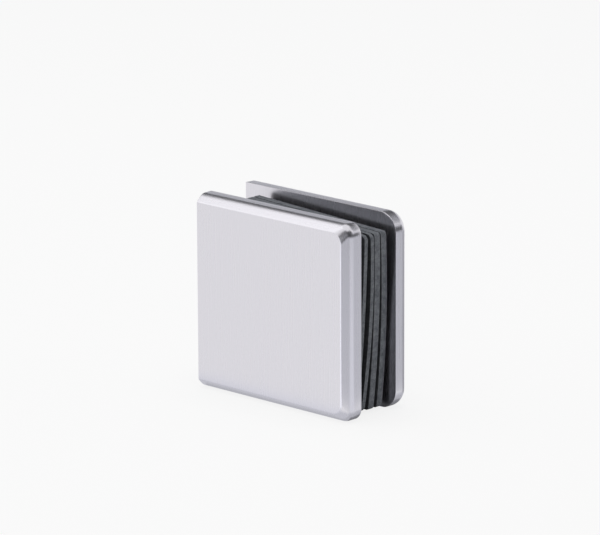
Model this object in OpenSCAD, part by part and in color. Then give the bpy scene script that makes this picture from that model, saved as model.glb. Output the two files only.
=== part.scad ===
// Glass-to-wall connector: two bevelled steel plates that clamp a pane of glass between rubber gaskets.
// The wall plane is x = 0, the middle of the slot for the glass is y = 0 and mid-height is z = 0.
// +X runs along the glass, away from the wall. +Y points to the back plate, which is fixed to the wall.

/* [Plates] */
// Length of both plates, from the wall to the free end
plate_w = 51; // [46:0.5:80]
// Height of both plates
plate_h = 50; // [48:0.5:80]
// Thickness of the front cover plate
front_plate_t = 5.4; // [5.2:0.1:9]
// Thickness of the back plate
back_plate_t = 5.2; // [4.8:0.1:9]
// Width of the 45 degree bevel on the three free edges
bevel_w = 2; // [1:0.1:2.4]
// Radius between the bevel and the side
side_edge_r = 2.6; // [0.4:0.1:3]
// Radius between the bevel and the flat face
face_edge_r = 0.8; // [0.2:0.1:1.2]
// Radius of the front plate's two corners at the free end
front_corner_r = 3.2; // [3.1:0.1:12]
// Radius of the back plate's two corners at the free end
back_corner_r = 5; // [4:0.5:12]
// Radius of the corners of the flat outer faces, inside the bevel
face_corner_r = 2.8; // [1:0.1:10]

/* [Glass slot] */
// Thickness of the glass
glass_t = 8; // [6:0.5:12]
// Spare room in the slot before the clamp is tightened
slot_play = 0.5; // [0.1:0.1:2]
// How far the front plate can be drawn in from where it stands
close_travel = 1; // [0.5:0.1:1.2]

/* [Gaskets] */
// Thickness of the two thin gaskets
thin_gasket_t = 1.25; // [1:0.05:1.6]
// Thickness of the two thick gaskets
thick_gasket_t = 2; // [1.8:0.05:3]
// Distance from the top and bottom edges of the plates to the gaskets
gasket_edge_inset = 2.3; // [1:0.1:4]
// Distance from the free end of the plates to the gaskets
gasket_free_inset = 2.3; // [1.5:0.1:5]
// Radius of the thin gaskets' corners at the free end
thin_corner_r = 1.4; // [0.4:0.1:5]
// Radius of the thick gaskets' corners at the free end
thick_corner_r = 0.8; // [0.4:0.1:5]
// How far the gaskets have turned on the sleeve, clockwise from the front
gasket_turn = 2.7; // [0:0.1:4]
// Play of a gasket's hole on the sleeve, on the radius
gasket_hole_play = 0.8; // [0.4:0.1:1.5]
// Gap left between the sleeve and the top of a gasket's hole
gasket_hang_gap = 0.2; // [0.1:0.05:0.3]
// Gap between the web and the nearest point of a turned gasket
gasket_web_gap = 0.34; // [0.3:0.02:2]

/* [Gasket curl] */
// How far the top and bottom edges of the rear thick gasket come forward of its crown
rear_thick_bow = 1; // [0.6:0.02:1.1]
// The same for the front thick gasket
front_thick_bow = 0.92; // [0.8:0.02:1.1]
// The same for the rear thin gasket
rear_thin_bow = 1.28; // [1.2:0.02:1.5]
// The same for the front thin gasket
front_thin_bow = 0.62; // [0.4:0.02:0.8]
// Height of the rear thick gasket's crown above its middle
rear_thick_crown = -4.5; // [-6:0.5:0]
// Height of the front thick gasket's crown
front_thick_crown = 0; // [-2:0.5:1.5]
// Height of the rear thin gasket's crown
rear_thin_crown = 5; // [3:0.5:6]
// Height of the front thin gasket's crown
front_thin_crown = 12; // [6:0.5:13]
// Air between the back plate and the crown of the rear thick gasket
rear_thick_space = 0.75; // [0.4:0.05:1]
// Distance from the front of the rear thick gasket's crown to the front thick gasket's crown
front_thick_space = 0.76; // [0.7:0.02:1]
// Distance from there on to the rear thin gasket's crown
rear_thin_space = 0.31; // [0.28:0.01:0.5]
// Distance from there on to the front thin gasket's crown
front_thin_space = 1.5; // [0.9:0.05:1.7]

/* [Wall web] */
// Thickness of the web that is screwed to the wall
web_t = 4.5; // [4:0.1:8]
// Distance from the top and bottom edges of the plates to the web
web_edge_inset = 6; // [5:0.1:7]
// Radius in the corner between the web and the back plate
web_root_r = 1.5; // [0.5:0.1:2.5]
// Bevel on the web's leading edge
web_lead_in = 0.6; // [0.2:0.1:1]
// How far the web reaches into the rebate of the front plate
key_reach = 1.4; // [0.8:0.1:1.6]
// Gap round the web in that rebate
key_gap = 0.3; // [0.2:0.05:0.6]
// Diameter of the two wall screw holes
wall_hole_d = 5; // [4:0.1:6]
// Diameter of their countersinks
wall_sink_d = 9.4; // [8:0.1:10]
// Distance between the wall screw holes
wall_hole_pitch = 24; // [18:0.5:26]

/* [Clamp screw] */
// Diameter of the thread
screw_d = 6; // [5:0.5:6.5]
// Diameter of the countersunk head
screw_head_d = 12; // [11:0.5:12.5]
// Straight rim at the top of the head
screw_head_land = 0.3; // [0.2:0.1:0.6]
// Width across the flats of the hexagon socket
socket_flats = 4; // [3:0.5:5]
// Depth of the hexagon socket
socket_depth = 2.3; // [1.5:0.1:2.6]
// Bevel at the tip of the screw
screw_tip = 0.8; // [0.3:0.1:1.2]
// How far the screw reaches into the front plate
screw_reach = 2.4; // [1.5:0.1:2.6]
// Depth of the head below the rear face
head_recess = 0.1; // [0.05:0.05:0.5]
// Radial fit of the screw in its thread and of its head in the countersink
screw_fit = 0.05; // [0.02:0.01:0.1]
// Radial gap round the screw in the back plate and the sleeve
screw_gap = 0.2; // [0.1:0.05:0.5]

/* [Boss and sleeve] */
// Diameter of the threaded boss on the front plate
boss_d = 8.6; // [8.2:0.1:12]
// Length of the boss
boss_l = 4.5; // [3:0.1:5]
// Bevel at the end of the boss
boss_bevel = 0.5; // [0.2:0.1:0.8]
// Gap round the boss and at its end inside the sleeve
boss_gap = 0.3; // [0.2:0.05:0.6]
// Wall of the sleeve round the boss
sleeve_wall = 1.4; // [1:0.1:3]
// End play of the sleeve when the front plate is drawn in
sleeve_play = 0.3; // [0.2:0.05:1]
// Bevel on the sleeve's outer edges
sleeve_bevel = 0.4; // [0.2:0.1:0.6]

/* [Hidden] */

$fn = 96;
// The curl's radius is large, so its circle needs more steps
curl_fn = 1440;
// Steps of the arcs that round the two edges of the bevel
side_steps = 8;
face_steps = 4;
// Lean of the bevel
bevel_angle = 45;
// Steps of a full turn at the plates' corners
corner_fn = 64;
// Thickness of the slice that gives a plate its section at the wall
end_slice = 0.01;
// Overlap that lets cuts pass cleanly through a face
cut = 1;

// The slot holds the glass between the two thick gaskets
slot = glass_t + 2 * thick_gasket_t + slot_play;
front_y = -slot / 2;
back_y = slot / 2;
rear_y = back_y + back_plate_t;

web_h = plate_h - 2 * web_edge_inset;
// Room left at the bottom of the rebate when the plate is drawn in
key_bottom_gap = 0.2;
rebate_depth = key_reach + close_travel + key_bottom_gap;

gasket_left = web_t + gasket_web_gap + web_h / 2 * sin(gasket_turn);
gasket_w = plate_w - gasket_left - gasket_free_inset;
gasket_h = plate_h - 2 * gasket_edge_inset;
// The screw passes through the middle of the gaskets
screw_x = gasket_left + gasket_w / 2;

screw_l = back_plate_t - head_recess + slot + screw_reach;
// Room left ahead of the screw's tip when the plate is drawn in
tip_gap = 0.8;
thread_depth = screw_reach + close_travel + tip_gap;

sleeve_l = slot - close_travel - sleeve_play;
sleeve_r = boss_d / 2 + boss_gap + sleeve_wall;
sleeve_front_y = back_y - sleeve_l;
boss_seat_y = front_y + close_travel + boss_l + boss_gap;
gasket_hole_r = sleeve_r + gasket_hole_play;
gasket_drop = gasket_hole_play - gasket_hang_gap;

// Each rubber sheet as [thickness, corner radius, bow, crown]
rear_thick = [thick_gasket_t, thick_corner_r, rear_thick_bow, rear_thick_crown];
front_thick = [thick_gasket_t, thick_corner_r, front_thick_bow, front_thick_crown];
rear_thin = [thin_gasket_t, thin_corner_r, rear_thin_bow, rear_thin_crown];
front_thin = [thin_gasket_t, thin_corner_r, front_thin_bow, front_thin_crown];

// Rear faces of the sheets at their crowns, from the back plate forwards
rear_thick_y = back_y - rear_thick_space;
front_thick_y = rear_thick_y - thick_gasket_t - front_thick_space;
rear_thin_y = front_thick_y - thick_gasket_t - rear_thin_space;
front_thin_y = rear_thin_y - thin_gasket_t - front_thin_space;

steel = "#c9cbce";
rubber = "#3a3c3f";
nylon = "#e8e6df";

// Cylinder along Y from y0 to y1
module rod_y(r, y0, y1) {
    translate([0, y1, 0])
        rotate([90, 0, 0])
            cylinder(r = r, h = y1 - y0);
}

// Points along an arc
function arc(centre, r, from, to, steps) = [
    for (i = [0 : steps])
        let (angle = from + (to - from) * i / steps)
            centre + r * [cos(angle), sin(angle)]
];

// Outline of a plate's side on x = reach, from its inner face on y = 0 and rounded towards the bevel
function side_points(reach, t) = concat(
    [[reach, 0]],
    arc([reach - side_edge_r, t - bevel_w - side_edge_r * tan(bevel_angle / 2)],
        side_edge_r, 0, bevel_angle, side_steps)
);

// Outline of the edge between the bevel and the flat face of the same plate
function face_points(reach, t) =
    arc([reach - bevel_w - face_edge_r * tan(bevel_angle / 2), t - face_edge_r],
        face_edge_r, bevel_angle, 90, face_steps);

// Turns a half section round a corner of the free end that lies reach from both edges
module turned_corner(reach, side) {
    translate([plate_w - reach, 0, side * (plate_h / 2 - reach)])
        rotate([-90, 0, 0])
            rotate_extrude($fn = corner_fn)
                children();
}

// Plate with its inner face on y = 0: cut square at the wall, bevelled on its three other edges.
// It is the convex body between its section at the wall, the corners of its side and the corners of
// its flat face, so the bevel widens into a rounded facet where those corners differ.
module bevelled_plate(t, corner_r) {
    face_reach = face_corner_r + bevel_w;
    half_section = concat([[0, 0]], side_points(plate_h / 2, t), face_points(plate_h / 2, t), [[0, t]]);
    hull() {
        rotate([0, 90, 0])
            linear_extrude(end_slice) {
                polygon(half_section);
                mirror([1, 0]) polygon(half_section);
            }
        for (side = [-1, 1]) {
            turned_corner(corner_r, side)
                polygon(concat([[0, 0]], side_points(corner_r, t), [[0, t - bevel_w]]));
            turned_corner(face_reach, side)
                polygon(concat([[0, t - face_edge_r]], face_points(face_reach, t), [[0, t]]));
        }
    }
}

// Boss on the front plate, with a bevelled end
module boss() {
    boss_r = boss_d / 2;
    rotate([-90, 0, 0])
        rotate_extrude()
            polygon([
                [0, -cut],
                [boss_r, -cut],
                [boss_r, boss_l - boss_bevel],
                [boss_r - boss_bevel, boss_l],
                [0, boss_l]
            ]);
}

module front_plate() {
    color(steel)
        difference() {
            union() {
                translate([0, front_y, 0])
                    mirror([0, 1, 0])
                        bevelled_plate(front_plate_t, front_corner_r);
                translate([screw_x, front_y, 0])
                    boss();
            }
            // Blind thread
            translate([screw_x, 0, 0])
                rod_y(screw_d / 2 + screw_fit, front_y - thread_depth, front_y + boss_l + cut);
            // Rebate that slides over the web and stops the plate turning
            translate([-cut, front_y - rebate_depth, -web_h / 2 - key_gap])
                cube([web_t + key_gap + cut, rebate_depth + cut, web_h + 2 * key_gap]);
        }
}

// Section of the web across its height, with a fillet at its root
module web_section() {
    tip_y = front_y - key_reach;
    polygon([
        [0, tip_y],
        [web_t - web_lead_in, tip_y],
        [web_t, tip_y + web_lead_in],
        [web_t, back_y + cut],
        [0, back_y + cut]
    ]);
    difference() {
        translate([web_t, back_y - web_root_r])
            square([web_root_r, web_root_r + cut]);
        translate([web_t + web_root_r, back_y - web_root_r])
            circle(r = web_root_r);
    }
}

// Wall screw hole along X, countersunk on the side away from the wall
module wall_hole() {
    hole_r = wall_hole_d / 2;
    sink_r = wall_sink_d / 2;
    rotate([0, 90, 0])
        rotate_extrude()
            polygon([
                [0, -cut],
                [hole_r, -cut],
                [hole_r, web_t - sink_r + hole_r],
                [sink_r, web_t],
                [sink_r, web_t + cut],
                [0, web_t + cut]
            ]);
}

// Hole for the clamp screw, with its countersink, from the rear face forwards
module clamp_hole() {
    hole_r = screw_d / 2 + screw_gap;
    sink_r = screw_head_d / 2 + screw_fit;
    sink_depth = head_recess + screw_head_land;
    rotate([90, 0, 0])
        rotate_extrude()
            polygon([
                [0, -cut],
                [sink_r, -cut],
                [sink_r, sink_depth],
                [hole_r, sink_depth + sink_r - hole_r],
                [hole_r, back_plate_t + cut],
                [0, back_plate_t + cut]
            ]);
}

module wall_bracket() {
    color(steel)
        difference() {
            union() {
                translate([0, back_y, 0])
                    bevelled_plate(back_plate_t, back_corner_r);
                translate([0, 0, -web_h / 2])
                    linear_extrude(web_h)
                        web_section();
            }
            translate([screw_x, rear_y, 0])
                clamp_hole();
            for (side = [-1, 1])
                translate([0, 0, side * wall_hole_pitch / 2])
                    wall_hole();
        }
}

module clamp_screw() {
    head_r = screw_head_d / 2;
    shank_r = screw_d / 2;
    color(steel)
        translate([screw_x, rear_y - head_recess, 0])
            rotate([90, 0, 0])
                difference() {
                    rotate_extrude()
                        polygon([
                            [0, 0],
                            [head_r, 0],
                            [head_r, screw_head_land],
                            [shank_r, screw_head_land + head_r - shank_r],
                            [shank_r, screw_l - screw_tip],
                            [shank_r - screw_tip, screw_l],
                            [0, screw_l]
                        ]);
                    translate([0, 0, -cut])
                        cylinder(d = socket_flats / cos(30), h = socket_depth + cut, $fn = 6);
                }
}

module screw_sleeve() {
    seat_r = boss_d / 2 + boss_gap;
    color(nylon)
        translate([screw_x, 0, 0])
            difference() {
                translate([0, sleeve_front_y, 0])
                    rotate([-90, 0, 0])
                        rotate_extrude()
                            polygon([
                                [0, 0],
                                [sleeve_r - sleeve_bevel, 0],
                                [sleeve_r, sleeve_bevel],
                                [sleeve_r, sleeve_l - sleeve_bevel],
                                [sleeve_r - sleeve_bevel, sleeve_l],
                                [0, sleeve_l]
                            ]);
                rod_y(screw_d / 2 + screw_gap, sleeve_front_y - cut, back_y + cut);
                rod_y(seat_r, sleeve_front_y - cut, boss_seat_y);
            }
}

// Outline of a gasket round its hole: square at the wall end, with rounded corners at the free end
module gasket_outline(round_r) {
    half_w = gasket_w / 2;
    half_h = gasket_h / 2;
    corner_x = half_w - round_r;
    corner_y = half_h - round_r;
    difference() {
        union() {
            translate([-half_w, -half_h])
                square([half_w + corner_x, gasket_h]);
            translate([0, -corner_y])
                square([half_w, 2 * corner_y]);
            for (side = [-1, 1])
                translate([corner_x, side * corner_y])
                    circle(r = round_r);
        }
        circle(r = gasket_hole_r);
    }
}

// Sheet of rubber cut to that outline and curled about a level axis far in front of it.
// Its rear face reaches y = 0 at the crown.
module gasket(sheet) {
    t = sheet[0];
    round_r = sheet[1];
    bow = sheet[2];
    crown = sheet[3];
    curl_r = pow(gasket_h / 2, 2) / (2 * bow) + bow / 2;
    block = t + 4 * bow;
    intersection() {
        translate([0, cut, 0])
            rotate([90, 0, 0])
                linear_extrude(block + cut)
                    gasket_outline(round_r);
        translate([-gasket_w, -curl_r, crown])
            rotate([0, 90, 0])
                difference() {
                    cylinder(r = curl_r, h = 2 * gasket_w, $fn = curl_fn);
                    translate([0, 0, -cut])
                        cylinder(r = curl_r - t, h = 2 * gasket_w + 2 * cut, $fn = curl_fn);
                }
    }
}

// A gasket hung on the sleeve and turned with the others, with its crown's rear face at y
module hung_gasket(sheet, y) {
    color(rubber)
        translate([screw_x, y, -gasket_drop])
            rotate([0, gasket_turn, 0])
                gasket(sheet);
}

module thin_gasket_front() {
    hung_gasket(front_thin, front_thin_y);
}

module thin_gasket_rear() {
    hung_gasket(rear_thin, rear_thin_y);
}

module thick_gasket_front() {
    hung_gasket(front_thick, front_thick_y);
}

module thick_gasket_rear() {
    hung_gasket(rear_thick, rear_thick_y);
}

front_plate();
wall_bracket();
clamp_screw();
screw_sleeve();
thin_gasket_front();
thin_gasket_rear();
thick_gasket_front();
thick_gasket_rear();
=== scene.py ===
# %% [markdown]
# # A glass-to-wall connector for the studio
# The real object is a small square clamp of satin stainless steel. Its back plate has a web that is
# screwed to a wall, and a screw draws the front plate in on a pane of glass. Four loose rubber gaskets
# stand fanned out between the plates, as they are supplied.
#
# The CAD model already has every size and every joint. This lesson gives it its looks: each CAD solid
# is remade as a finer mesh with smooth edges, and gets a finish, a studio and a camera. The frame is
# loaded first, because every new piece has to lie where its CAD solid lies.

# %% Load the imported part
import math

import bmesh
import bpy
from mathutils import Matrix, Vector


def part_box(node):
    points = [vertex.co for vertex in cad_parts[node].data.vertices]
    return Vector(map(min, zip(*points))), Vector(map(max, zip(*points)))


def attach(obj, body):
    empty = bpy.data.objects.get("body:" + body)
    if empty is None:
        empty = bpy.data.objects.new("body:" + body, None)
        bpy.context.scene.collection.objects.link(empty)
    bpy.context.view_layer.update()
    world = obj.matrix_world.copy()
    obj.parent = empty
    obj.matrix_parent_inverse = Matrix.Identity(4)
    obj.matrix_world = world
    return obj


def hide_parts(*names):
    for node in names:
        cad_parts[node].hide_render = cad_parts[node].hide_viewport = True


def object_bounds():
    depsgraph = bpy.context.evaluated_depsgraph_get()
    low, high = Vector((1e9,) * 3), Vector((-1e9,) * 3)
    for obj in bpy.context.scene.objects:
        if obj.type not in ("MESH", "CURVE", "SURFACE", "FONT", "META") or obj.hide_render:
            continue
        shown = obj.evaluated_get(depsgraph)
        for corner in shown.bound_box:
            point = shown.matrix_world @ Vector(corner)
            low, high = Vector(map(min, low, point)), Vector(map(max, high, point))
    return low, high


MM = 0.001

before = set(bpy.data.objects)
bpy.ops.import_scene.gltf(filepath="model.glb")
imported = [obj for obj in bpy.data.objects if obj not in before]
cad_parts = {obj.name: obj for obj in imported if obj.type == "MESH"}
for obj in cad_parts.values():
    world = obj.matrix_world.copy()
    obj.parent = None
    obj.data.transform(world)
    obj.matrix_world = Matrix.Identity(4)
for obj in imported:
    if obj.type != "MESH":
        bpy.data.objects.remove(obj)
cad_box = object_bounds()
print("CAD box in mm:", [[round(c / MM, 2) for c in corner] for corner in cad_box])

# %% [markdown]
# ## The camera
# The part is seen from the front, from its free end and from a little above, through a long lens: its
# upright edges stay almost parallel. A camera could be placed by eye, but the corners of the two plates
# fix it closely, so the angles, the distance and the focal length come from fitting those corners.
#
# The part stands a little below the middle of the picture. A shifted lens would give that too, but the
# camera is turned instead, by less than half a degree, so that other views stay centred.

# %% Place the camera
IMAGE_WIDTH, IMAGE_HEIGHT = 600, 535
AZIMUTH, ELEVATION, ROLL = (math.radians(a) for a in (43.27, 14.925, -0.221))
DISTANCE = 1.131
FOCAL_PIXELS = 4545
PART_X, PART_Y = 302.7, 300.0
SENSOR_MM = 36
CLIP_NEAR, CLIP_FAR = 0.05, 20

part_centre = (cad_box[0] + cad_box[1]) / 2
to_camera = Vector((
    math.sin(AZIMUTH) * math.cos(ELEVATION),
    -math.cos(AZIMUTH) * math.cos(ELEVATION),
    math.sin(ELEVATION),
))
level_right = Vector((math.cos(AZIMUTH), math.sin(AZIMUTH), 0))
facing_part = Matrix((level_right, to_camera.cross(level_right), to_camera)).transposed().to_4x4()
turn_left = math.atan2(PART_X - IMAGE_WIDTH / 2, FOCAL_PIXELS)
tip_up = math.atan2(PART_Y - IMAGE_HEIGHT / 2, FOCAL_PIXELS)

camera_data = bpy.data.cameras.new("studio_camera")
camera_data.sensor_width = SENSOR_MM
camera_data.lens = FOCAL_PIXELS / IMAGE_WIDTH * SENSOR_MM
camera_data.clip_start, camera_data.clip_end = CLIP_NEAR, CLIP_FAR
camera = bpy.data.objects.new("studio_camera", camera_data)
bpy.context.collection.objects.link(camera)
camera.matrix_world = (
    Matrix.Translation(part_centre + to_camera * DISTANCE)
    @ facing_part
    @ Matrix.Rotation(ROLL, 4, "Z")
    @ Matrix.Rotation(turn_left, 4, "Y")
    @ Matrix.Rotation(tip_up, 4, "X")
)
bpy.context.scene.camera = camera
bpy.context.scene.view_settings.view_transform = "Standard"
print(f"camera lens {camera_data.lens:.1f} mm at {DISTANCE} m")

# %% [markdown]
# ## The floor and the room
# The picture has a plain white ground. A floor could be lit until it is white, but that would burn out
# the steel as well. Instead the floor and the room show white to the rays that come from the camera and
# to those that the steel or clear things send on, and a plain room light falls on everything else. A
# share of the floor stays an ordinary pale surface, so that the part keeps a soft shadow under it.
#
# All of that is nodes, which take many lines one by one, so a few helpers for node trees come first.

# %% Helpers for node trees
def feed(tree, socket, value):
    """Links a socket to another one, or sets it to a plain value."""
    if isinstance(value, bpy.types.NodeSocket):
        tree.links.new(value, socket)
    else:
        socket.default_value = value


def node(tree, kind, settings=None, **inputs):
    """Adds a node with these settings, and feeds the inputs that are named."""
    made = tree.nodes.new(kind)
    for name, value in (settings or {}).items():
        setattr(made, name, value)
    for name, value in inputs.items():
        feed(tree, made.inputs[name.replace("_", " ")], value)
    return made


def maths(tree, operation, *values):
    """Works out one value from others."""
    made = node(tree, "ShaderNodeMath", {"operation": operation})
    for socket, value in zip(made.inputs, values):
        feed(tree, socket, value)
    return made.outputs[0]


def empty_finish(name):
    """A new material, and its node tree with nothing in it."""
    finish = bpy.data.materials.new(name)
    finish.use_nodes = True
    finish.node_tree.nodes.clear()
    return finish, finish.node_tree


# %% Light the room
ROOM_LIGHT, ROOM_WHITE = 0.62, 0.947


def picture_rays(tree):
    """Gives 1 for camera, glossy and transmission rays, and 0 for the others."""
    rays = tree.nodes.new("ShaderNodeLightPath").outputs
    camera_or_glossy = maths(tree, "MAXIMUM", rays["Is Camera Ray"], rays["Is Glossy Ray"])
    return maths(tree, "MAXIMUM", camera_or_glossy, rays["Is Transmission Ray"])


room = bpy.data.worlds.new("white_room")
room.use_nodes = True
bpy.context.scene.world = room
tree = room.node_tree
strength = node(tree, "ShaderNodeMapRange", Value=picture_rays(tree),
                To_Min=ROOM_LIGHT, To_Max=ROOM_WHITE)
background = tree.nodes["Background"]
background.inputs["Color"].default_value = (1, 1, 1, 1)
tree.links.new(strength.outputs["Result"], background.inputs["Strength"])
print(f"room light {ROOM_LIGHT}, white ground {ROOM_WHITE}")

# %% Mix the finish of the floor
GROUND_WHITE, WHITE_SHARE, FLOOR_PALE = 0.965, 0.86, 0.9

floor_finish, tree = empty_finish("pale_floor")
paint = node(tree, "ShaderNodeBsdfDiffuse", Color=(FLOOR_PALE, FLOOR_PALE, FLOOR_PALE, 1))
white = node(tree, "ShaderNodeEmission", Color=(GROUND_WHITE, GROUND_WHITE, GROUND_WHITE, 1))
mix = node(tree, "ShaderNodeMixShader", Fac=maths(tree, "MULTIPLY", picture_rays(tree), WHITE_SHARE))
tree.links.new(paint.outputs[0], mix.inputs[1])
tree.links.new(white.outputs[0], mix.inputs[2])
node(tree, "ShaderNodeOutputMaterial", Surface=mix.outputs[0])
print(f"the floor is {WHITE_SHARE:.0%} white ground and the rest pale paint")

# %% Lay the floor
FLOOR_SIZE = 6


def stage_object(name, bm, finish):
    """Makes a stage mesh, which is no piece of the part."""
    mesh = bpy.data.meshes.new(name)
    bm.to_mesh(mesh)
    bm.free()
    mesh.materials.append(finish)
    made = bpy.data.objects.new(name, mesh)
    bpy.context.collection.objects.link(made)
    return made


floor_z = cad_box[0].z
bm = bmesh.new()
bmesh.ops.create_grid(bm, x_segments=1, y_segments=1, size=FLOOR_SIZE / 2)
bmesh.ops.translate(bm, verts=bm.verts, vec=(0, 0, floor_z))
floor = stage_object("floor", bm, floor_finish)
print(f"floor {floor.dimensions.x:.1f} m wide at z = {floor_z / MM:.1f} mm")

# %% [markdown]
# ## Cards round the steel
# Steel has hardly any colour of its own: each face shows what lies where the camera's ray bounces to.
# In a white room alone every face would be the same white, so a photographer hangs grey and black cards
# round such a part. A face's card is found by mirroring the direction to the camera in the normal of
# that face. The cards are seen by glossy rays only, so they neither show nor throw a shadow.
#
# The rounded corners sweep past many directions, and each card that they pass shows there as a band.
# So two dark cards, over the camera and to its right, darken the corner of the front bevel, and a grey
# one low in front eases that into the bevel below. Two more, high at the back, shade the turned corners
# of both plates, and a low dark strip bent round the free end draws a thin dark line across them.

# %% Helpers for the cards
COOL_GREY = Vector((0.985, 1.0, 1.05))


def mirrored(normal):
    """Where a face with this normal sends the camera's ray."""
    n = Vector(normal).normalized()
    return 2 * n.dot(to_camera) * n - to_camera


def stand_off(direction, distance):
    """A place at a distance from the part, turned to face it."""
    turn = direction.to_track_quat("Z", "Y").to_matrix().to_4x4()
    return Matrix.Translation(direction * distance) @ turn


def show_card(name, bm, glow):
    """Makes a glowing card that only reflections see."""
    finish, tree = empty_finish(name)
    grey = node(tree, "ShaderNodeEmission", Color=(*(COOL_GREY * glow), 1))
    node(tree, "ShaderNodeOutputMaterial", Surface=grey.outputs[0])
    card = stage_object(name, bm, finish)
    card.visible_camera = False
    card.visible_diffuse = False
    card.visible_transmission = False
    card.visible_volume_scatter = False
    card.visible_shadow = False
    print(f"{name}: glow {glow}")


# %% Hang the cards
CARDS = (  # name, normal of the faces that look there, distance, width, height, glow
    ("back_card", (0, 0, 1), 0.8, 0.9, 0.5, 0.62),
    ("ceiling_card", (0, -0.305, 0.95), 0.6, 0.8, 0.3, 0.08),
    ("high_back_card", (0.5, 0, 0.87), 0.7, 0.34, 0.3, 0.1),
    ("side_back_card", (0.73, -0.01, 0.68), 0.7, 0.38, 0.4, 0.34),
    ("over_camera_card", (0.566, -0.721, 0.399), 0.7, 0.5, 0.4, 0.06),
    ("right_hand_card", (0.786, -0.489, 0.378), 0.27, 0.23, 0.176, 0.06),
    ("low_front_card", (0.55, -0.8, 0.25), 0.7, 0.3, 0.24, 0.36),
)

for name, normal, distance, width, height, glow in CARDS:
    bm = bmesh.new()
    bmesh.ops.create_grid(bm, x_segments=1, y_segments=1, size=0.5)
    bmesh.ops.scale(bm, verts=bm.verts, vec=(width, height, 1))
    bmesh.ops.transform(bm, matrix=stand_off(mirrored(normal), distance), verts=bm.verts)
    show_card(name, bm, glow)

# %% Stand a grey sheet on the right
SHEET_NEAR, SHEET_FAR = 0.062, 0.3
SHEET_FRONT, SHEET_BACK = -0.5, 0.6
SHEET_TOP = 0.16
SHEET_GREY = 0.62
CARD_LIFT = 0.00002


def polyline(bm, points):
    """A few vertices joined by edges."""
    verts = [bm.verts.new(p) for p in points]
    edges = [bm.edges.new(pair) for pair in zip(verts, verts[1:])]
    return verts, edges


def moved_verts(result):
    """The vertices that an extrusion made, which are then moved."""
    return [g for g in result["geom"] if isinstance(g, bmesh.types.BMVert)]


bm = bmesh.new()
_, edges = polyline(bm, [
    (SHEET_NEAR, SHEET_FRONT, floor_z + CARD_LIFT),
    (SHEET_FAR, SHEET_FRONT, floor_z + CARD_LIFT),
    (SHEET_FAR, SHEET_FRONT, SHEET_TOP),
])
pulled = bmesh.ops.extrude_edge_only(bm, edges=edges)
bmesh.ops.translate(bm, verts=moved_verts(pulled), vec=(0, SHEET_BACK - SHEET_FRONT, 0))
show_card("grey_sheet", bm, SHEET_GREY)

# %% Bend a dark strip round the free end
STRIP_RADIUS, STRIP_LOW, STRIP_HIGH = 0.28, 0.002, 0.08
STRIP_FROM, STRIP_TO, STRIP_STEPS = -55, 52, 24
STRIP_DARK = 0.03


def turned_card(name, centre, section, first, last, steps, glow):
    """A card that a line of (reach, z) points sweeps from one azimuth to another."""
    start = math.radians(first)
    bm = bmesh.new()
    verts, edges = polyline(bm, [
        (centre[0] + reach * math.cos(start), centre[1] + reach * math.sin(start), z)
        for reach, z in section
    ])
    bmesh.ops.spin(bm, geom=verts + edges, cent=(*centre, 0), axis=(0, 0, 1), dvec=(0, 0, 0),
                   angle=math.radians(last - first), steps=steps, use_merge=False)
    show_card(name, bm, glow)


turned_card("dark_strip", (0, 0), [(STRIP_RADIUS, STRIP_LOW), (STRIP_RADIUS, STRIP_HIGH)],
            STRIP_FROM, STRIP_TO, STRIP_STEPS, STRIP_DARK)

# %% [markdown]
# ## Light and shade on the floor
# Two rounded edges catch a bright line: the one between the front face and the bevel beside it, and the
# one between that bevel and the free end. Each looks out along the floor, so a wedge of white paper
# lies there. The rounded edge at the back looks out over the floor behind the part, where a wedge of
# grey paper lies. The bottom bevel looks down under the part instead, where less and less light gets
# in, so a few grey sheets lie there in steps, and the steel's satin finish blurs them into one soft
# shade.

# %% Lay the paper
PAPER_Z = floor_z + 2 * CARD_LIFT
WEDGES = (  # name, tip, azimuth, spread to each side, near end, far end, glow
    ("side_paper", (0.04, -0.009), 2, 20, 0.02, 0.25, 0.85),
    ("front_paper", (0.05, 0), -88, 14, 0.02, 0.6, 1.3),
    ("back_paper", (0.045, 0), 84, 24, 0.0125, 0.25, 0.42),
)

for name, tip, azimuth, spread, near_end, far_end, glow in WEDGES:
    turned_card(name, tip, [(near_end, PAPER_Z), (far_end, PAPER_Z)],
                azimuth - spread, azimuth + spread, 1, glow)

# %% Lay grey sheets under the part
FIRST_SHADE_LIFT = 3 * CARD_LIFT
SHADES = (  # inset in front and at the wall, inset at the back and the free end, glow
    (-0.009, 0.001, 0.9),
    (-0.006, 0.001, 0.8),
    (-0.002, -0.006, 0.69),
    (0.001, -0.003, 0.56),
    (0.0025, 0.0002, 0.25),
    (0.004, 0.0025, 0.05),
)

low, high = cad_box
for step, (inset, end_inset, glow) in enumerate(SHADES):
    wall_x, front_y = low.x + inset, low.y + inset
    free_x, back_y = high.x - end_inset, high.y - end_inset
    shade_z = floor_z + FIRST_SHADE_LIFT + step * CARD_LIFT
    bm = bmesh.new()
    bm.faces.new([bm.verts.new((x, y, shade_z)) for x, y in (
        (wall_x, front_y), (free_x, front_y), (free_x, back_y), (wall_x, back_y))])
    show_card(f"shade_{step}", bm, glow)

# %% [markdown]
# ## The lamps
# One large soft lamp stands high on the left in front. The top bevel of the front plate mirrors it,
# which makes that bevel the brightest line in the picture, so the lamp is put in the direction that the
# bevel mirrors. A lamp lets the white room behind it through, so a mirror shows the two together and a
# weak lamp is enough. A second lamp straight above brings out the cut edges of the rubber, and the
# steel doesn't mirror it.

# %% Hang the lamps
TOP_BEVEL_NORMAL = (0, -1, 0.9)


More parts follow.
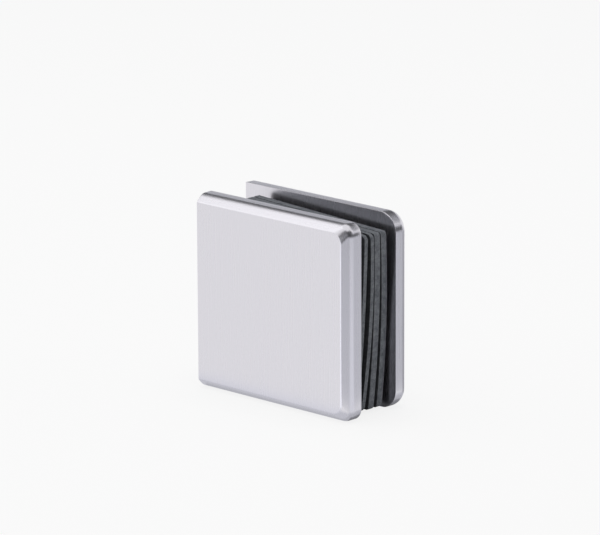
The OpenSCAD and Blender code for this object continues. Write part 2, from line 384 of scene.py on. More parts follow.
def hang_lamp(name, direction, distance, width, height, glow):
    """A soft lamp that faces the part, with its power from how brightly it glows."""
    lamp_data = bpy.data.lights.new(name, "AREA")
    lamp_data.shape = "RECTANGLE"
    lamp_data.size, lamp_data.size_y = width, height
    lamp_data.energy = glow * width * height * math.pi
    lamp = bpy.data.objects.new(name, lamp_data)
    bpy.context.collection.objects.link(lamp)
    lamp.matrix_world = stand_off(direction, distance)
    print(f"{name}: {lamp_data.energy:.2f} W from {[round(c, 2) for c in direction]}")
    return lamp


hang_lamp("soft_lamp", mirrored(TOP_BEVEL_NORMAL), distance=0.7, width=0.6, height=0.6, glow=0.33)
top_lamp = hang_lamp("top_lamp", Vector((0, 0, 1)), distance=0.9, width=0.5, height=0.5, glow=3.8)
top_lamp.visible_glossy = False

# %% [markdown]
# ## Satin steel
# The plates are brushed with a fine belt: the faces have hair-thin upright lines and the top and bottom
# edges have lines that run along them. A picture of brushed metal would do it, but stretched noise on
# Object coordinates needs no image and has no seams. Two noises are stretched along different axes, and
# the surface's own normal picks between them. The lines change the colour a little, the roughness more,
# and give a slight bump.

# %% Helpers for finishes
def blank_finish(name):
    """A new material, its node tree and its shader."""
    finish = bpy.data.materials.new(name)
    finish.use_nodes = True
    return finish, finish.node_tree, finish.node_tree.nodes["Principled BSDF"]


def mixed(tree, share, first, second):
    """A value between two others."""
    made = node(tree, "ShaderNodeMix", {"data_type": "FLOAT"})
    for index, value in ((0, share), (2, first), (3, second)):
        feed(tree, made.inputs[index], value)
    return made.outputs[0]


def tinted(tree, value, dark, light, dark_at=0, light_at=1):
    """A colour that a value takes from dark to light."""
    ramp = node(tree, "ShaderNodeValToRGB", Fac=value)
    for stop, place, colour in zip(ramp.color_ramp.elements, (dark_at, light_at), (dark, light)):
        stop.position = place
        stop.color = (*colour, 1)
    return ramp.outputs[0]


def dress(tree, shader, colour, rough, bump):
    """Gives a shader the three things that vary over every surface here."""
    tree.links.new(colour, shader.inputs["Base Color"])
    tree.links.new(rough.outputs[0], shader.inputs["Roughness"])
    tree.links.new(bump.outputs[0], shader.inputs["Normal"])


# %% Brushed satin steel
ACROSS_GRAIN, ALONG_GRAIN = 3200, 40
CLOUD_SHARE = 0.35
SATIN_DARK, SATIN_LIGHT = (0.7345, 0.7205, 0.7665), (0.7385, 0.7245, 0.7705)


def brush_lines(tree, where, scale):
    """Noise that is stretched into lines."""
    stretched = node(tree, "ShaderNodeMapping", Vector=where.outputs["Object"], Scale=scale)
    lines = node(tree, "ShaderNodeTexNoise", Vector=stretched.outputs[0],
                 Scale=1.0, Detail=3.0, Roughness=0.6)
    return lines.outputs[0]


def brushed_steel(name, dark, light, smoothest, roughest):
    finish, tree, shader = blank_finish(name)
    where = tree.nodes.new("ShaderNodeTexCoord")
    upright = brush_lines(tree, where, (ACROSS_GRAIN, ACROSS_GRAIN, ALONG_GRAIN))
    level = brush_lines(tree, where, (ALONG_GRAIN, ACROSS_GRAIN, ACROSS_GRAIN))
    normal = node(tree, "ShaderNodeSeparateXYZ", Vector=where.outputs["Normal"])
    up_or_down = maths(tree, "ABSOLUTE", normal.outputs["Z"])
    picked = node(tree, "ShaderNodeMapRange", Value=up_or_down, From_Min=0.5, From_Max=0.65)
    lines = mixed(tree, picked.outputs[0], upright, level)
    clouds = node(tree, "ShaderNodeTexNoise", Vector=where.outputs["Object"],
                  Scale=90.0, Detail=2.0, Roughness=0.5)
    shade = maths(tree, "MULTIPLY_ADD", clouds.outputs[0], CLOUD_SHARE, lines)
    colour = tinted(tree, shade, dark, light, dark_at=0.4, light_at=0.95)
    rough = node(tree, "ShaderNodeMapRange", Value=lines,
                 From_Min=0.25, From_Max=0.75, To_Min=smoothest, To_Max=roughest)
    bump = node(tree, "ShaderNodeBump", Height=lines, Strength=0.002, Distance=0.00003)
    dress(tree, shader, colour, rough, bump)
    shader.inputs["Metallic"].default_value = 1
    return finish


satin_steel = brushed_steel("satin_steel", SATIN_DARK, SATIN_LIGHT, smoothest=0.27, roughest=0.282)
print("made", satin_steel.name, "with", len(satin_steel.node_tree.nodes), "nodes")

# %% [markdown]
# ## Screw steel
# The screw is turned and not brushed. Its fine lines run round its axis, so rings of a wave texture fit
# it. A Mapping node puts the middle of the rings on the axis of the screw.

# %% Turned steel
SCREW_X = 27.2175
TURNED_DARK, TURNED_LIGHT = (0.56, 0.56, 0.58), (0.66, 0.66, 0.68)


def turned_steel(name, dark, light, axis_x):
    finish, tree, shader = blank_finish(name)
    where = tree.nodes.new("ShaderNodeTexCoord")
    centred = node(tree, "ShaderNodeMapping", Vector=where.outputs["Object"],
                   Location=(-axis_x * MM, 0, 0))
    rings = node(tree, "ShaderNodeTexWave",
                 {"wave_type": "RINGS", "rings_direction": "Y"},
                 Vector=centred.outputs[0], Scale=900.0, Distortion=1.5, Detail=2.0)
    spots = node(tree, "ShaderNodeTexNoise", Vector=where.outputs["Object"],
                 Scale=600.0, Detail=3.0)
    colour = tinted(tree, rings.outputs["Fac"], dark, light)
    rough = node(tree, "ShaderNodeMapRange", Value=spots.outputs[0], To_Min=0.22, To_Max=0.4)
    bump = node(tree, "ShaderNodeBump", Height=rings.outputs["Fac"], Strength=0.08, Distance=0.00003)
    dress(tree, shader, colour, rough, bump)
    shader.inputs["Metallic"].default_value = 1
    return finish


screw_steel = turned_steel("screw_steel", TURNED_DARK, TURNED_LIGHT, SCREW_X)
print("made", screw_steel.name, "with", len(screw_steel.node_tree.nodes), "nodes")

# %% [markdown]
# ## Rubber and nylon
# The gaskets are stamped from sheet rubber: matt and almost black, with cut edges that show a fine
# grain. The sleeve is natural nylon, a milky white with a soft shine. Both get a noise for their colour
# and a finer one for their bump. The rubber's broad faces are made darker than its cut edges, by the
# normal: that is painted shade, for the narrow gaps between the sheets where little light gets in.

# %% A grained finish
ROUGH_SPREAD = 0.08


def grained(name, dark, light, patch_scale, grain_scale, grain_depth, roughness, specular):
    finish, tree, shader = blank_finish(name)
    where = tree.nodes.new("ShaderNodeTexCoord")
    patches = node(tree, "ShaderNodeTexNoise", Vector=where.outputs["Object"],
                   Scale=patch_scale, Detail=5.0, Roughness=0.65)
    grain = node(tree, "ShaderNodeTexNoise", Vector=where.outputs["Object"],
                 Scale=grain_scale, Detail=4.0, Roughness=0.7)
    both = mixed(tree, 0.5, patches.outputs[0], grain.outputs[0])
    colour = tinted(tree, both, dark, light, dark_at=0.41, light_at=0.59)
    rough = node(tree, "ShaderNodeMapRange", Value=grain.outputs[0], From_Min=0.3, From_Max=0.7,
                 To_Min=roughness - ROUGH_SPREAD, To_Max=roughness + ROUGH_SPREAD)
    bump = node(tree, "ShaderNodeBump", Height=grain.outputs[0], Strength=0.35, Distance=grain_depth)
    dress(tree, shader, colour, rough, bump)
    shader.inputs["Specular IOR Level"].default_value = specular
    return finish


# %% Sheet rubber and nylon
RUBBER_DARK, RUBBER_LIGHT = (0.07, 0.077, 0.089), (0.165, 0.173, 0.19)
NYLON_DARK, NYLON_LIGHT = (0.78, 0.77, 0.73), (0.86, 0.85, 0.81)
# Share of its colour that the rubber's broad faces keep: painted shade for the gaps between the sheets
FACE_SHADE_SHARE = 0.28


def paint_shade_on_faces(finish, share):
    """Darkens what faces along Y: painted shade for the gaps between the sheets, so that cut edges
    stand out from the faces of a sheet.
    """
    tree = finish.node_tree
    base = tree.nodes["Principled BSDF"].inputs["Base Color"]
    edge_colour = base.links[0].from_socket
    where = tree.nodes.new("ShaderNodeTexCoord")
    normal = node(tree, "ShaderNodeSeparateXYZ", Vector=where.outputs["Normal"])
    towards_y = maths(tree, "ABSOLUTE", normal.outputs["Y"])
    left = node(tree, "ShaderNodeMapRange", Value=towards_y,
                From_Min=0.6, From_Max=0.9, To_Min=1.0, To_Max=share)
    darker = node(tree, "ShaderNodeVectorMath", {"operation": "SCALE"},
                  Vector=edge_colour, Scale=left.outputs[0])
    tree.links.new(darker.outputs[0], base)


rubber = grained("gasket_rubber", RUBBER_DARK, RUBBER_LIGHT, patch_scale=700, grain_scale=3000,
                 grain_depth=0.0001, roughness=0.7, specular=0.3)
# Painted shade: the faces of each sheet that face the others are darkened, as if in the gaps' shade
paint_shade_on_faces(rubber, FACE_SHADE_SHARE)
nylon = grained("nylon", NYLON_DARK, NYLON_LIGHT, patch_scale=150, grain_scale=3000,
                grain_depth=0.00002, roughness=0.42, specular=0.5)
print("made", rubber.name, "and", nylon.name)

# %% [markdown]
# ## Drawing in millimetres
# The pieces are drawn in millimetres, in the CAD frame, because a bevel of half a millimetre is too
# small a number in metres for some mesh tools. When a mesh is ready it is scaled once. Edges that turn
# sharply are marked, and a Weighted Normal modifier keeps the broad flats flat between rounded edges.

# %% Helpers for every piece
SHARP = math.radians(28)
WELD = 0.002
TOUCH = 0.001


def near(a, b):
    return abs(a - b) < TOUCH


def edges_where(bm, test):
    """The edges whose two ends pass a test."""
    return [e for e in bm.edges if all(test(v.co) for v in e.verts)]


def edges_among(bm, verts):
    """The edges that join some vertices, in the order of the mesh."""
    return [e for e in bm.edges if all(v in verts for v in e.verts)]


def bevel(bm, edges, offset, segments):
    bmesh.ops.bevel(bm, geom=edges, offset=offset, offset_type="OFFSET", affect="EDGES",
                    segments=segments, profile=0.5, material=-1, clamp_overlap=False)


# %% Hand a drawing over as a piece
def hand_over(bm, name, finish, body, node_name):
    """Scales a drawing to metres and makes it the piece that stands for a CAD node."""
    bmesh.ops.remove_doubles(bm, verts=bm.verts, dist=WELD)
    bmesh.ops.recalc_face_normals(bm, faces=bm.faces)
    for face in bm.faces:
        face.smooth = True
    for edge in bm.edges:
        edge.smooth = edge.calc_face_angle(math.pi) < SHARP
    open_edges = sum(1 for e in bm.edges if len(e.link_faces) != 2)
    volume = bm.calc_volume(signed=True)
    bmesh.ops.scale(bm, verts=bm.verts, vec=(MM, MM, MM))
    mesh = bpy.data.meshes.new(name)
    bm.to_mesh(mesh)
    bm.free()
    mesh.materials.append(finish)
    piece = bpy.data.objects.new(name, mesh)
    bpy.context.collection.objects.link(piece)
    flats = piece.modifiers.new("flat_faces", "WEIGHTED_NORMAL")
    flats.keep_sharp = True
    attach(piece, body)
    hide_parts(node_name)
    low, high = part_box(node_name)
    sticks_out = max(
        max(max(low[i] - v.co[i], v.co[i] - high[i]) for i in range(3)) for v in mesh.vertices
    )
    print(f"{name}: {len(mesh.polygons)} faces, {open_edges} open edges, {volume:.0f} mm3,"
          f" {sticks_out / MM:+.3f} mm against its CAD box")


# %% [markdown]
# ## The plate blank
# Both plates start as the same blank: a square sheet that is cut straight at the wall, has two rounded
# corners at the free end, and a 45 degree bevel on its three free edges, with a radius on each edge of
# the bevel. The flat face has rounder corners than the side, so the bevel widens into a facet there.
#
# Bevelling a box would keep the bevel equally wide all round. So the blank is a stack of outlines, one
# for each height. The upper half of an outline is a line up the free end, a corner turned by Spin and a
# line to the wall, and Mirror makes the lower half. All outlines have the same number of points, so
# Bridge Loops joins each one to the next by a strip of four-sided faces.

# %% List the outlines
PLATE_LENGTH, PLATE_HEIGHT, FRONT_CORNER_R, BACK_CORNER_R, FACE_CORNER_R = 51, 50, 3.2, 5, 2.8
BEVEL_WIDTH, SIDE_EDGE_R, FACE_EDGE_R, INNER_BREAK, WALL_BREAK = 2, 2.6, 0.8, 0.12, 0.35
FRONT_INNER, FRONT_OUTER = -6.25, -11.65
BACK_INNER, BACK_OUTER = 6.25, 11.45
INNER_STEPS, SIDE_STEPS, FACE_STEPS = 2, 8, 4


def arc(centre, radius, first, last, steps):
    """Points on an arc, as (inset from the edge, height over the inner face)."""
    angles = [math.radians(first + (last - first) * i / steps) for i in range(steps + 1)]
    return [(centre[0] - radius * math.cos(a), centre[1] + radius * math.sin(a)) for a in angles]


def rim_levels(thickness, corner_r):
    """Each outline's inset, height and distance of its corner's centre from the edges."""
    tangent = math.tan(math.radians(45 / 2))
    side_centre = (SIDE_EDGE_R, thickness - BEVEL_WIDTH - SIDE_EDGE_R * tangent)
    face_centre = (BEVEL_WIDTH + FACE_EDGE_R * tangent, thickness - FACE_EDGE_R)
    inner = arc((INNER_BREAK, INNER_BREAK), INNER_BREAK, -90, 0, INNER_STEPS)
    side = arc(side_centre, SIDE_EDGE_R, 0, 45, SIDE_STEPS)
    face = arc(face_centre, FACE_EDGE_R, 45, 90, FACE_STEPS)
    levels = [(inset, height, corner_r) for inset, height in inner + side]
    return levels + [(inset, height, FACE_CORNER_R + BEVEL_WIDTH) for inset, height in face]


print("outlines of a plate:", len(rim_levels(FRONT_INNER - FRONT_OUTER, FRONT_CORNER_R)))

# %% Draw one outline
CORNER_STEPS = 24


def draw_outline(bm, y, inset, reach):
    """Draws an outline with its corners' centres at a reach from the edges, and returns its edges."""
    known_verts, known_edges = set(bm.verts), set(bm.edges)
    free_x, corner_z = PLATE_LENGTH - inset, PLATE_HEIGHT / 2 - reach
    (_, corner), _ = polyline(bm, [(free_x, y, 0), (free_x, y, corner_z)])
    turned = bmesh.ops.spin(bm, geom=[corner], cent=(PLATE_LENGTH - reach, y, corner_z),
                            axis=(0, -1, 0), dvec=(0, 0, 0), angle=math.pi / 2,
                            steps=CORNER_STEPS, use_merge=False)
    (corner_end,) = (g for g in turned["geom_last"] if isinstance(g, bmesh.types.BMVert))
    run = bmesh.ops.extrude_vert_indiv(bm, verts=[corner_end])
    bmesh.ops.translate(bm, verts=run["verts"], vec=(-corner_end.co.x, 0, 0))
    upper_half = [v for v in bm.verts if v not in known_verts]
    upper_half += [e for e in bm.edges if e not in known_edges]
    bmesh.ops.mirror(bm, geom=upper_half, axis="Z", merge_dist=TOUCH)
    return [e for e in bm.edges if e not in known_edges]


# %% Stack the outlines
def plate_blank(inner_y, outer_y, corner_r):
    bm = bmesh.new()
    outlines = []
    for inset, height, reach in rim_levels(abs(outer_y - inner_y), corner_r):
        outlines.append(draw_outline(bm, inner_y + math.copysign(height, outer_y), inset, reach))
    for below, above in zip(outlines, outlines[1:]):
        bmesh.ops.bridge_loops(bm, edges=below + above)
    for outline in (outlines[0], outlines[-1]):
        ends = {v for e in outline for v in e.verts if near(v.co.x, 0)}
        wall_edge = bm.edges.new(sorted(ends, key=lambda v: v.co.z))
        bmesh.ops.edgeloop_fill(bm, edges=outline + [wall_edge])
    bmesh.ops.edgeloop_fill(bm, edges=edges_where(bm, lambda p: near(p.x, 0)))
    bmesh.ops.recalc_face_normals(bm, faces=bm.faces)
    wall_edges = edges_where(bm, lambda p: near(p.x, 0) and abs(p.y - inner_y) > INNER_BREAK - TOUCH)
    bevel(bm, wall_edges, WALL_BREAK, segments=3)
    return bm


trial = plate_blank(FRONT_INNER, FRONT_OUTER, FRONT_CORNER_R)
print("blank:", len(trial.faces), "faces,", round(trial.calc_volume(signed=False)), "mm3")
trial.free()

# %% [markdown]
# ## Round features
# The boss, the screw hole and the wall holes are all round, so each is a line drawn on one side of its
# axis and spun a full turn. Their open ends are circles that lie in a flat face. Cutting them with
# Booleans would leave long slivers, so the flat face is taken out and filled again between its outline
# and the circle.

# %% Spin a line
ROUND_STEPS = 72


def spin(bm, points, centre, axis):
    verts, edges = polyline(bm, points)
    bmesh.ops.spin(bm, geom=verts + edges, cent=centre, axis=axis, dvec=(0, 0, 0),
                   angle=math.tau, steps=ROUND_STEPS, use_merge=True)


def along_y(points):
    """Points given as (radius, y) from the axis of the clamp screw."""
    return [(SCREW_X + r, y, 0) for r, y in points]


def spin_on_screw(bm, points):
    """Spins a line of (radius, y) points round the axis of the clamp screw."""
    spin(bm, along_y(points), (SCREW_X, 0, 0), (0, 1, 0))


def circle_edges(bm, centre, radius, flat_axis):
    """The edges of a circle that lies in a plane across one axis."""
    centre = Vector(centre)
    return edges_where(bm, lambda p: near(p[flat_axis], centre[flat_axis])
                       and near((p - centre).length, radius))


# %% Open and fill flat faces
def open_face(bm, test):
    """Takes out the one flat face whose corners pass a test, and returns its edges."""
    face = next(f for f in bm.faces if all(test(v.co) for v in f.verts))
    edges = list(face.edges)
    bmesh.ops.delete(bm, geom=[face], context="FACES_ONLY")
    return edges


def open_wall_end(bm, inner_y):
    """Takes out a blank's inner face and wall end, and the edge that they share.

    Returns the other edges of each, and the lower and upper end of the shared edge."""
    inner_edges = open_face(bm, lambda p: near(p.y, inner_y))
    end_edges = open_face(bm, lambda p: near(p.x, 0))
    shared = next(e for e in inner_edges if e in end_edges)
    corners = sorted(shared.verts, key=lambda v: v.co.z)
    inner_edges.remove(shared)
    end_edges.remove(shared)
    bm.edges.remove(shared)
    return inner_edges, end_edges, corners


def fill_flat(bm, edges, normal):
    """Fills a flat outline that may have holes in it."""
    bmesh.ops.triangle_fill(bm, edges=edges, normal=normal, use_beauty=True)


# %% [markdown]
# ## The front plate
# The cover plate has a threaded boss behind it for the clamp screw, and a rebate at the wall end that
# slides over the web of the back plate and stops the plate turning.

# %% Make the front plate and its boss
BOSS_R, BOSS_LENGTH, BOSS_BEVEL = 4.3, 4.5, 0.5
THREAD_R, THREAD_LEAD, THREAD_DEPTH = 3.05, 0.2, 4.2

bm = plate_blank(FRONT_INNER, FRONT_OUTER, FRONT_CORNER_R)
inner_edges, end_edges, (low_corner, high_corner) = open_wall_end(bm, FRONT_INNER)
boss_end = FRONT_INNER + BOSS_LENGTH
spin_on_screw(bm, [
    (BOSS_R, FRONT_INNER),
    (BOSS_R, boss_end - BOSS_BEVEL),
    (BOSS_R - BOSS_BEVEL, boss_end),
    (THREAD_R + THREAD_LEAD, boss_end),
    (THREAD_R, boss_end - THREAD_LEAD),
    (THREAD_R, FRONT_INNER - THREAD_DEPTH),
    (0, FRONT_INNER - THREAD_DEPTH),
])
boss_foot = circle_edges(bm, (SCREW_X, FRONT_INNER, 0), BOSS_R, 1)
print("boss:", len(boss_foot), "edges round its foot")

# %% Cut the rebate
REBATE_LENGTH, REBATE_HALF, REBATE_DEPTH = 4.8, 19.3, 2.6

rebate_y = FRONT_INNER - REBATE_DEPTH
mouth = [low_corner]
mouth += [bm.verts.new((x, FRONT_INNER, z)) for x, z in (
    (0, -REBATE_HALF), (REBATE_LENGTH, -REBATE_HALF), (REBATE_LENGTH, REBATE_HALF), (0, REBATE_HALF))]
mouth += [high_corner]
mouth_edges = [bm.edges.new(pair) for pair in zip(mouth, mouth[1:])]
sunk = bmesh.ops.extrude_edge_only(bm, edges=mouth_edges[1:-1])
bmesh.ops.translate(bm, verts=moved_verts(sunk), vec=(0, -REBATE_DEPTH, 0))
floor_corners = sorted(moved_verts(sunk), key=lambda v: (v.co.x, v.co.z))
bm.faces.new([floor_corners[i] for i in (0, 1, 3, 2)])
notch_edges = edges_where(bm, lambda p: near(p.x, 0) and abs(p.z) < REBATE_HALF + TOUCH
                          and p.y > rebate_y - TOUCH)
fill_flat(bm, inner_edges + mouth_edges + boss_foot, (0, 1, 0))
fill_flat(bm, end_edges + notch_edges + [mouth_edges[0], mouth_edges[-1]], (-1, 0, 0))
hand_over(bm, "cover_plate", satin_steel, "cover_side", "front_plate")

# %% [markdown]
# ## The back plate and its web
# The back plate is one piece with the web that is screwed to the wall. The section of the web is drawn
# once, with the round in its root made by spinning a point, and pulled up along the height of the web.

# %% Draw the web
WEB_THICK, WEB_HALF, WEB_TIP, WEB_LEAD, WEB_ROOT_R, WEB_ROOT_STEPS = 4.5, 19, -7.65, 0.6, 1.5, 8

bm = plate_blank(BACK_INNER, BACK_OUTER, BACK_CORNER_R)
inner_edges, end_edges, (low_corner, high_corner) = open_wall_end(bm, BACK_INNER)
outer_edges = open_face(bm, lambda p: near(p.y, BACK_OUTER))

before = set(bm.edges)
section, _ = polyline(bm, [
    (0, BACK_INNER, -WEB_HALF),
    (0, WEB_TIP, -WEB_HALF),
    (WEB_THICK - WEB_LEAD, WEB_TIP, -WEB_HALF),
    (WEB_THICK, WEB_TIP + WEB_LEAD, -WEB_HALF),
    (WEB_THICK, BACK_INNER - WEB_ROOT_R, -WEB_HALF),
])
bmesh.ops.spin(bm, geom=[section[-1]], cent=(WEB_THICK + WEB_ROOT_R, BACK_INNER - WEB_ROOT_R, 0),
               axis=(0, 0, 1), dvec=(0, 0, 0), angle=-math.pi / 2, steps=WEB_ROOT_STEPS,
               use_merge=False)
section_edges = [e for e in bm.edges if e not in before]
pulled = bmesh.ops.extrude_edge_only(bm, edges=section_edges)
bmesh.ops.translate(bm, verts=moved_verts(pulled), vec=(0, 0, 2 * WEB_HALF))
print("web: a section of", len(section_edges), "edges, pulled up by", 2 * WEB_HALF, "mm")

# %% Close the ends of the web and join it to the plate
web_x = WEB_THICK + WEB_ROOT_R
foot = {}
sides = []
for z in (-WEB_HALF, WEB_HALF):
    for x in (0, web_x):
        foot[x, z] = next(v for v in bm.verts if near(v.co.x, x) and near(v.co.z, z)
                          and near(v.co.y, BACK_INNER))
    sides.append(bm.edges.new((foot[0, z], foot[web_x, z])))
    profile = edges_where(bm, lambda p: near(p.z, z) and p.x < web_x + TOUCH
                          and p.y < BACK_INNER + TOUCH)
    fill_flat(bm, profile, (0, 0, 1))
root = edges_where(bm, lambda p: near(p.x, web_x) and near(p.y, BACK_INNER)
                   and abs(p.z) < WEB_HALF + TOUCH)
lips = [bm.edges.new((low_corner, foot[0, -WEB_HALF])), bm.edges.new((foot[0, WEB_HALF], high_corner))]
wall_line = bm.edges.get((foot[0, -WEB_HALF], foot[0, WEB_HALF]))
fill_flat(bm, end_edges + lips + [wall_line], (-1, 0, 0))
print("back plate and web:", len(bm.faces), "faces so far")

# %% Cut the hole for the clamp screw
CLAMP_HOLE_R, CLAMP_SINK_R, CLAMP_SINK_DEPTH, SINK_BREAK = 3.2, 6.05, 0.4, 0.15

sink_y = BACK_OUTER - CLAMP_SINK_DEPTH
spin_on_screw(bm, [
    (CLAMP_HOLE_R, BACK_INNER),
    (CLAMP_HOLE_R, sink_y - CLAMP_SINK_R + CLAMP_HOLE_R),
    (CLAMP_SINK_R, sink_y),
    (CLAMP_SINK_R, BACK_OUTER - SINK_BREAK),
    (CLAMP_SINK_R + SINK_BREAK, BACK_OUTER),
])
hole = circle_edges(bm, (SCREW_X, BACK_INNER, 0), CLAMP_HOLE_R, 1)
fill_flat(bm, inner_edges + lips + sides + root + hole, (0, -1, 0))
sink = circle_edges(bm, (SCREW_X, BACK_OUTER, 0), CLAMP_SINK_R + SINK_BREAK, 1)
fill_flat(bm, outer_edges + sink, (0, 1, 0))
print("clamp hole:", len(hole), "edges inside and", len(sink), "outside")

# %% Cut the holes for the wall screws
WALL_HOLE_R, WALL_SINK_R, WALL_HOLE_Z = 2.5, 4.7, 12

wall_side = open_face(bm, lambda p: near(p.x, 0) and p.y < BACK_INNER + TOUCH
                      and abs(p.z) < WEB_HALF + TOUCH)
glass_side = open_face(bm, lambda p: near(p.x, WEB_THICK) and abs(p.z) < WEB_HALF + TOUCH)
for z in (-WALL_HOLE_Z, WALL_HOLE_Z):
    spin(bm, [
        (0, WALL_HOLE_R, z),
        (WEB_THICK - WALL_SINK_R + WALL_HOLE_R, WALL_HOLE_R, z),
        (WEB_THICK, WALL_SINK_R, z),
    ], (0, 0, z), (1, 0, 0))
    wall_side += circle_edges(bm, (0, 0, z), WALL_HOLE_R, 0)
    glass_side += circle_edges(bm, (WEB_THICK, 0, z), WALL_SINK_R, 0)
fill_flat(bm, wall_side, (-1, 0, 0))
fill_flat(bm, glass_side, (1, 0, 0))
hand_over(bm, "back_plate_and_web", satin_steel, "wall_side", "wall_bracket")

# %% [markdown]
# ## The gaskets
# Each gasket is a stamped rubber sheet with a round hole. The sheets have curled a little, so their
# edges spread like the pages of a book, and all four hang on the sleeve with a slight turn. The sheet
# is drawn flat, between its outline and its hole, cut into rings so that it can bend, given its
# thickness and slightly soft edges, and only then curled: every point moves forward by its place on a
# large circle.

# %% Draw one flat gasket
GASKET_HALF_W, GASKET_HALF_H, GASKET_HOLE_R = 21.4825, 22.7, 6.8
SIDE_CUTS, GASKET_CORNER_STEPS, RINGS = 27, 8, 8
RUBBER_BREAK = 0.12
RIM_ANGLE = math.radians(80)


def flat_gasket(thickness, corner_r):
    bm = bmesh.new()
    w, h = GASKET_HALF_W, GASKET_HALF_H
    sheet = bm.faces.new([bm.verts.new((x, 0, z)) for x, z in ((-w, -h), (w, -h), (w, h), (-w, h))])
    free_corners = [v for v in sheet.verts if v.co.x > 0]
    bmesh.ops.bevel(bm, geom=free_corners, offset=corner_r, offset_type="OFFSET",
                    affect="VERTICES", segments=GASKET_CORNER_STEPS, profile=0.5, material=-1)
    long_edges = [e for e in bm.edges if e.calc_length() > GASKET_HALF_W]
    bmesh.ops.subdivide_edges(bm, edges=long_edges, cuts=SIDE_CUTS)
    bmesh.ops.delete(bm, geom=list(bm.faces), context="FACES_ONLY")
    outline = list(bm.edges)
    ring = bmesh.ops.create_circle(bm, segments=len(outline), radius=GASKET_HOLE_R,
                                   matrix=Matrix.Rotation(math.pi / 2, 4, "X"))
    bridged = bmesh.ops.bridge_loops(bm, edges=outline + edges_among(bm, ring["verts"]))
    bmesh.ops.subdivide_edges(bm, edges=bridged["edges"], cuts=RINGS, use_grid_fill=True)
    grown = bmesh.ops.extrude_face_region(bm, geom=list(bm.faces))
    bmesh.ops.translate(bm, verts=moved_verts(grown), vec=(0, -thickness, 0))
    bmesh.ops.recalc_face_normals(bm, faces=bm.faces)
    rims = [e for e in bm.edges if e.calc_face_angle(0) > RIM_ANGLE
            and near(e.verts[0].co.y, e.verts[1].co.y)]
    bevel(bm, rims, RUBBER_BREAK, segments=2)
    return bm


# %% Curl and hang the four gaskets
GASKET_DROP, GASKET_TURN = 0.6, math.radians(2.7)
THIN, THICK = (1.25, 1.4), (2, 0.8)
GASKETS = (  # name, CAD node, thickness and corner radius, bow, height of the crown, y of the rear
    ("thin_rubber_front", "thin_gasket_front", THIN, 0.62, 12, -2.32),
    ("thin_rubber_rear", "thin_gasket_rear", THIN, 1.28, 5, 0.43),
    ("thick_rubber_front", "thick_gasket_front", THICK, 0.92, 0, 2.74),
    ("thick_rubber_rear", "thick_gasket_rear", THICK, 1, -4.5, 5.5),
)

for name, node_name, sheet, bow, crown, rear_y in GASKETS:
    bm = flat_gasket(*sheet)
    curl_r = GASKET_HALF_H ** 2 / (2 * bow) + bow / 2
    for v in bm.verts:
        v.co.y -= curl_r - math.sqrt(curl_r ** 2 - (v.co.z - crown) ** 2)
    hang = Matrix.Translation((SCREW_X, rear_y, -GASKET_DROP)) @ Matrix.Rotation(GASKET_TURN, 4, "Y")
    bmesh.ops.transform(bm, matrix=hang, verts=bm.verts)
    hand_over(bm, name, rubber, "wall_side", node_name)

# %% [markdown]
# ## The sleeve
# A nylon bush sits round the screw, so that no steel touches the edge of the hole in the glass. It is a
# turned ring with a wider seat for the boss, so one closed line is spun round the axis.

# %% Make the sleeve
SLEEVE_R, SLEEVE_BEVEL, SLEEVE_FRONT = 6, 0.4, -4.95
SEAT_R, SEAT_Y = 4.6, -0.45

bm = bmesh.new()
spin_on_screw(bm, [
    (CLAMP_HOLE_R, SEAT_Y),
    (CLAMP_HOLE_R, BACK_INNER),
    (SLEEVE_R - SLEEVE_BEVEL, BACK_INNER),
    (SLEEVE_R, BACK_INNER - SLEEVE_BEVEL),
    (SLEEVE_R, SLEEVE_FRONT + SLEEVE_BEVEL),
    (SLEEVE_R - SLEEVE_BEVEL, SLEEVE_FRONT),
    (SEAT_R, SLEEVE_FRONT),
    (SEAT_R, SEAT_Y),
    (CLAMP_HOLE_R, SEAT_Y),
])
hand_over(bm, "nylon_sleeve", nylon, "wall_side", "screw_sleeve")

# %% [markdown]
# ## The clamp screw
# The screw has a countersunk head with a hexagon socket, and a real thread of 1 mm pitch: one turn
# moves the front plate by 1 mm. A thread is a spin that also climbs: the outline of one tooth, one
# pitch long, turns round the axis and moves up by a pitch in each turn, so its end meets its own start.
# Flat cuts trim it to length, and the cut ends are bridged to the head and to the tip.

# %% Turn the thread
PITCH, THREAD_STEPS, SPARE_TURNS = 1.0, 36, 2
CREST_R, ROOT_R = 3.0, 2.45
THREAD_TOP, THREAD_END = 7.6, -7.9
TOOTH = (  # radius, and place along one pitch
    (ROOT_R, 0), (ROOT_R, 0.25), (CREST_R, 0.5625), (CREST_R, 0.6875), (ROOT_R, 1),
)

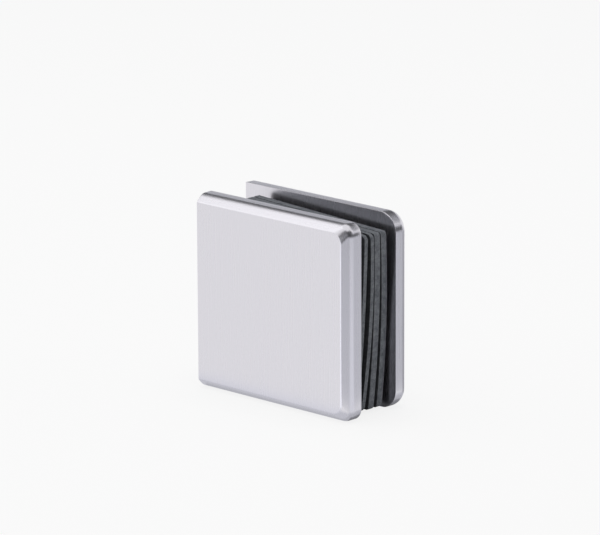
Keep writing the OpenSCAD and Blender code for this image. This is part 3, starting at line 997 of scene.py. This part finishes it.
turns = math.ceil((THREAD_TOP - THREAD_END) / PITCH) + SPARE_TURNS
start_y = THREAD_END - SPARE_TURNS * PITCH
bm = bmesh.new()
tooth, tooth_edges = polyline(bm, along_y([(r, start_y + place * PITCH) for r, place in TOOTH]))
bmesh.ops.spin(bm, geom=tooth + tooth_edges, cent=(SCREW_X, 0, 0), axis=(0, 1, 0),
               dvec=(0, PITCH / THREAD_STEPS, 0), angle=math.tau * turns,
               steps=THREAD_STEPS * turns, use_merge=False)
bmesh.ops.remove_doubles(bm, verts=bm.verts, dist=WELD)
for cut_y, away in ((THREAD_TOP, 1), (THREAD_END, -1)):
    bmesh.ops.bisect_plane(bm, geom=list(bm.verts) + list(bm.edges) + list(bm.faces),
                           plane_co=(0, cut_y, 0), plane_no=(0, away, 0), clear_outer=True)
print("thread:", turns, "turns,", len(bm.faces), "faces")

# %% Turn the head and the tip
HEAD_R, HEAD_TOP, HEAD_LAND, HEAD_BREAK = 6.0, 11.35, 0.3, 0.15
TIP_Y, TIP_R = -8.65, 2.2

cone_y = HEAD_TOP - HEAD_LAND - HEAD_R + CREST_R
spin_on_screw(bm, [
    (CREST_R, cone_y),
    (HEAD_R, HEAD_TOP - HEAD_LAND),
    (HEAD_R, HEAD_TOP - HEAD_BREAK),
    (HEAD_R - HEAD_BREAK, HEAD_TOP),
])
spin_on_screw(bm, [(TIP_R, TIP_Y), (0, TIP_Y)])
for cut_y, ring_r, ring_y in ((THREAD_TOP, CREST_R, cone_y), (THREAD_END, TIP_R, TIP_Y)):
    cut_loop = [e for e in edges_where(bm, lambda p: near(p.y, cut_y)) if e.is_boundary]
    ring_loop = [e for e in circle_edges(bm, (SCREW_X, ring_y, 0), ring_r, 1) if e.is_boundary]
    bmesh.ops.bridge_loops(bm, edges=cut_loop + ring_loop)
    print(f"bridged {len(cut_loop)} edges at the cut to {len(ring_loop)} at y = {ring_y:.2f} mm")

# %% Sink the hexagon socket
SOCKET_WIDTH, SOCKET_DEPTH = 4, 2.3

socket_r = SOCKET_WIDTH / 2 / math.cos(math.radians(30))
to_head = Matrix.Translation((SCREW_X, HEAD_TOP, 0)) @ Matrix.Rotation(math.pi / 2, 4, "X")
hexagon = bmesh.ops.create_circle(bm, segments=6, radius=socket_r, matrix=to_head)["verts"]
hex_edges = edges_among(bm, hexagon)
head_edge = circle_edges(bm, (SCREW_X, HEAD_TOP, 0), HEAD_R - HEAD_BREAK, 1)
fill_flat(bm, hex_edges + head_edge, (0, 1, 0))
sunk = bmesh.ops.extrude_edge_only(bm, edges=hex_edges)
bmesh.ops.translate(bm, verts=moved_verts(sunk), vec=(0, -SOCKET_DEPTH, 0))
fill_flat(bm, edges_among(bm, moved_verts(sunk)), (0, 1, 0))
hand_over(bm, "clamp_screw_threaded", screw_steel, "screw", "clamp_screw")
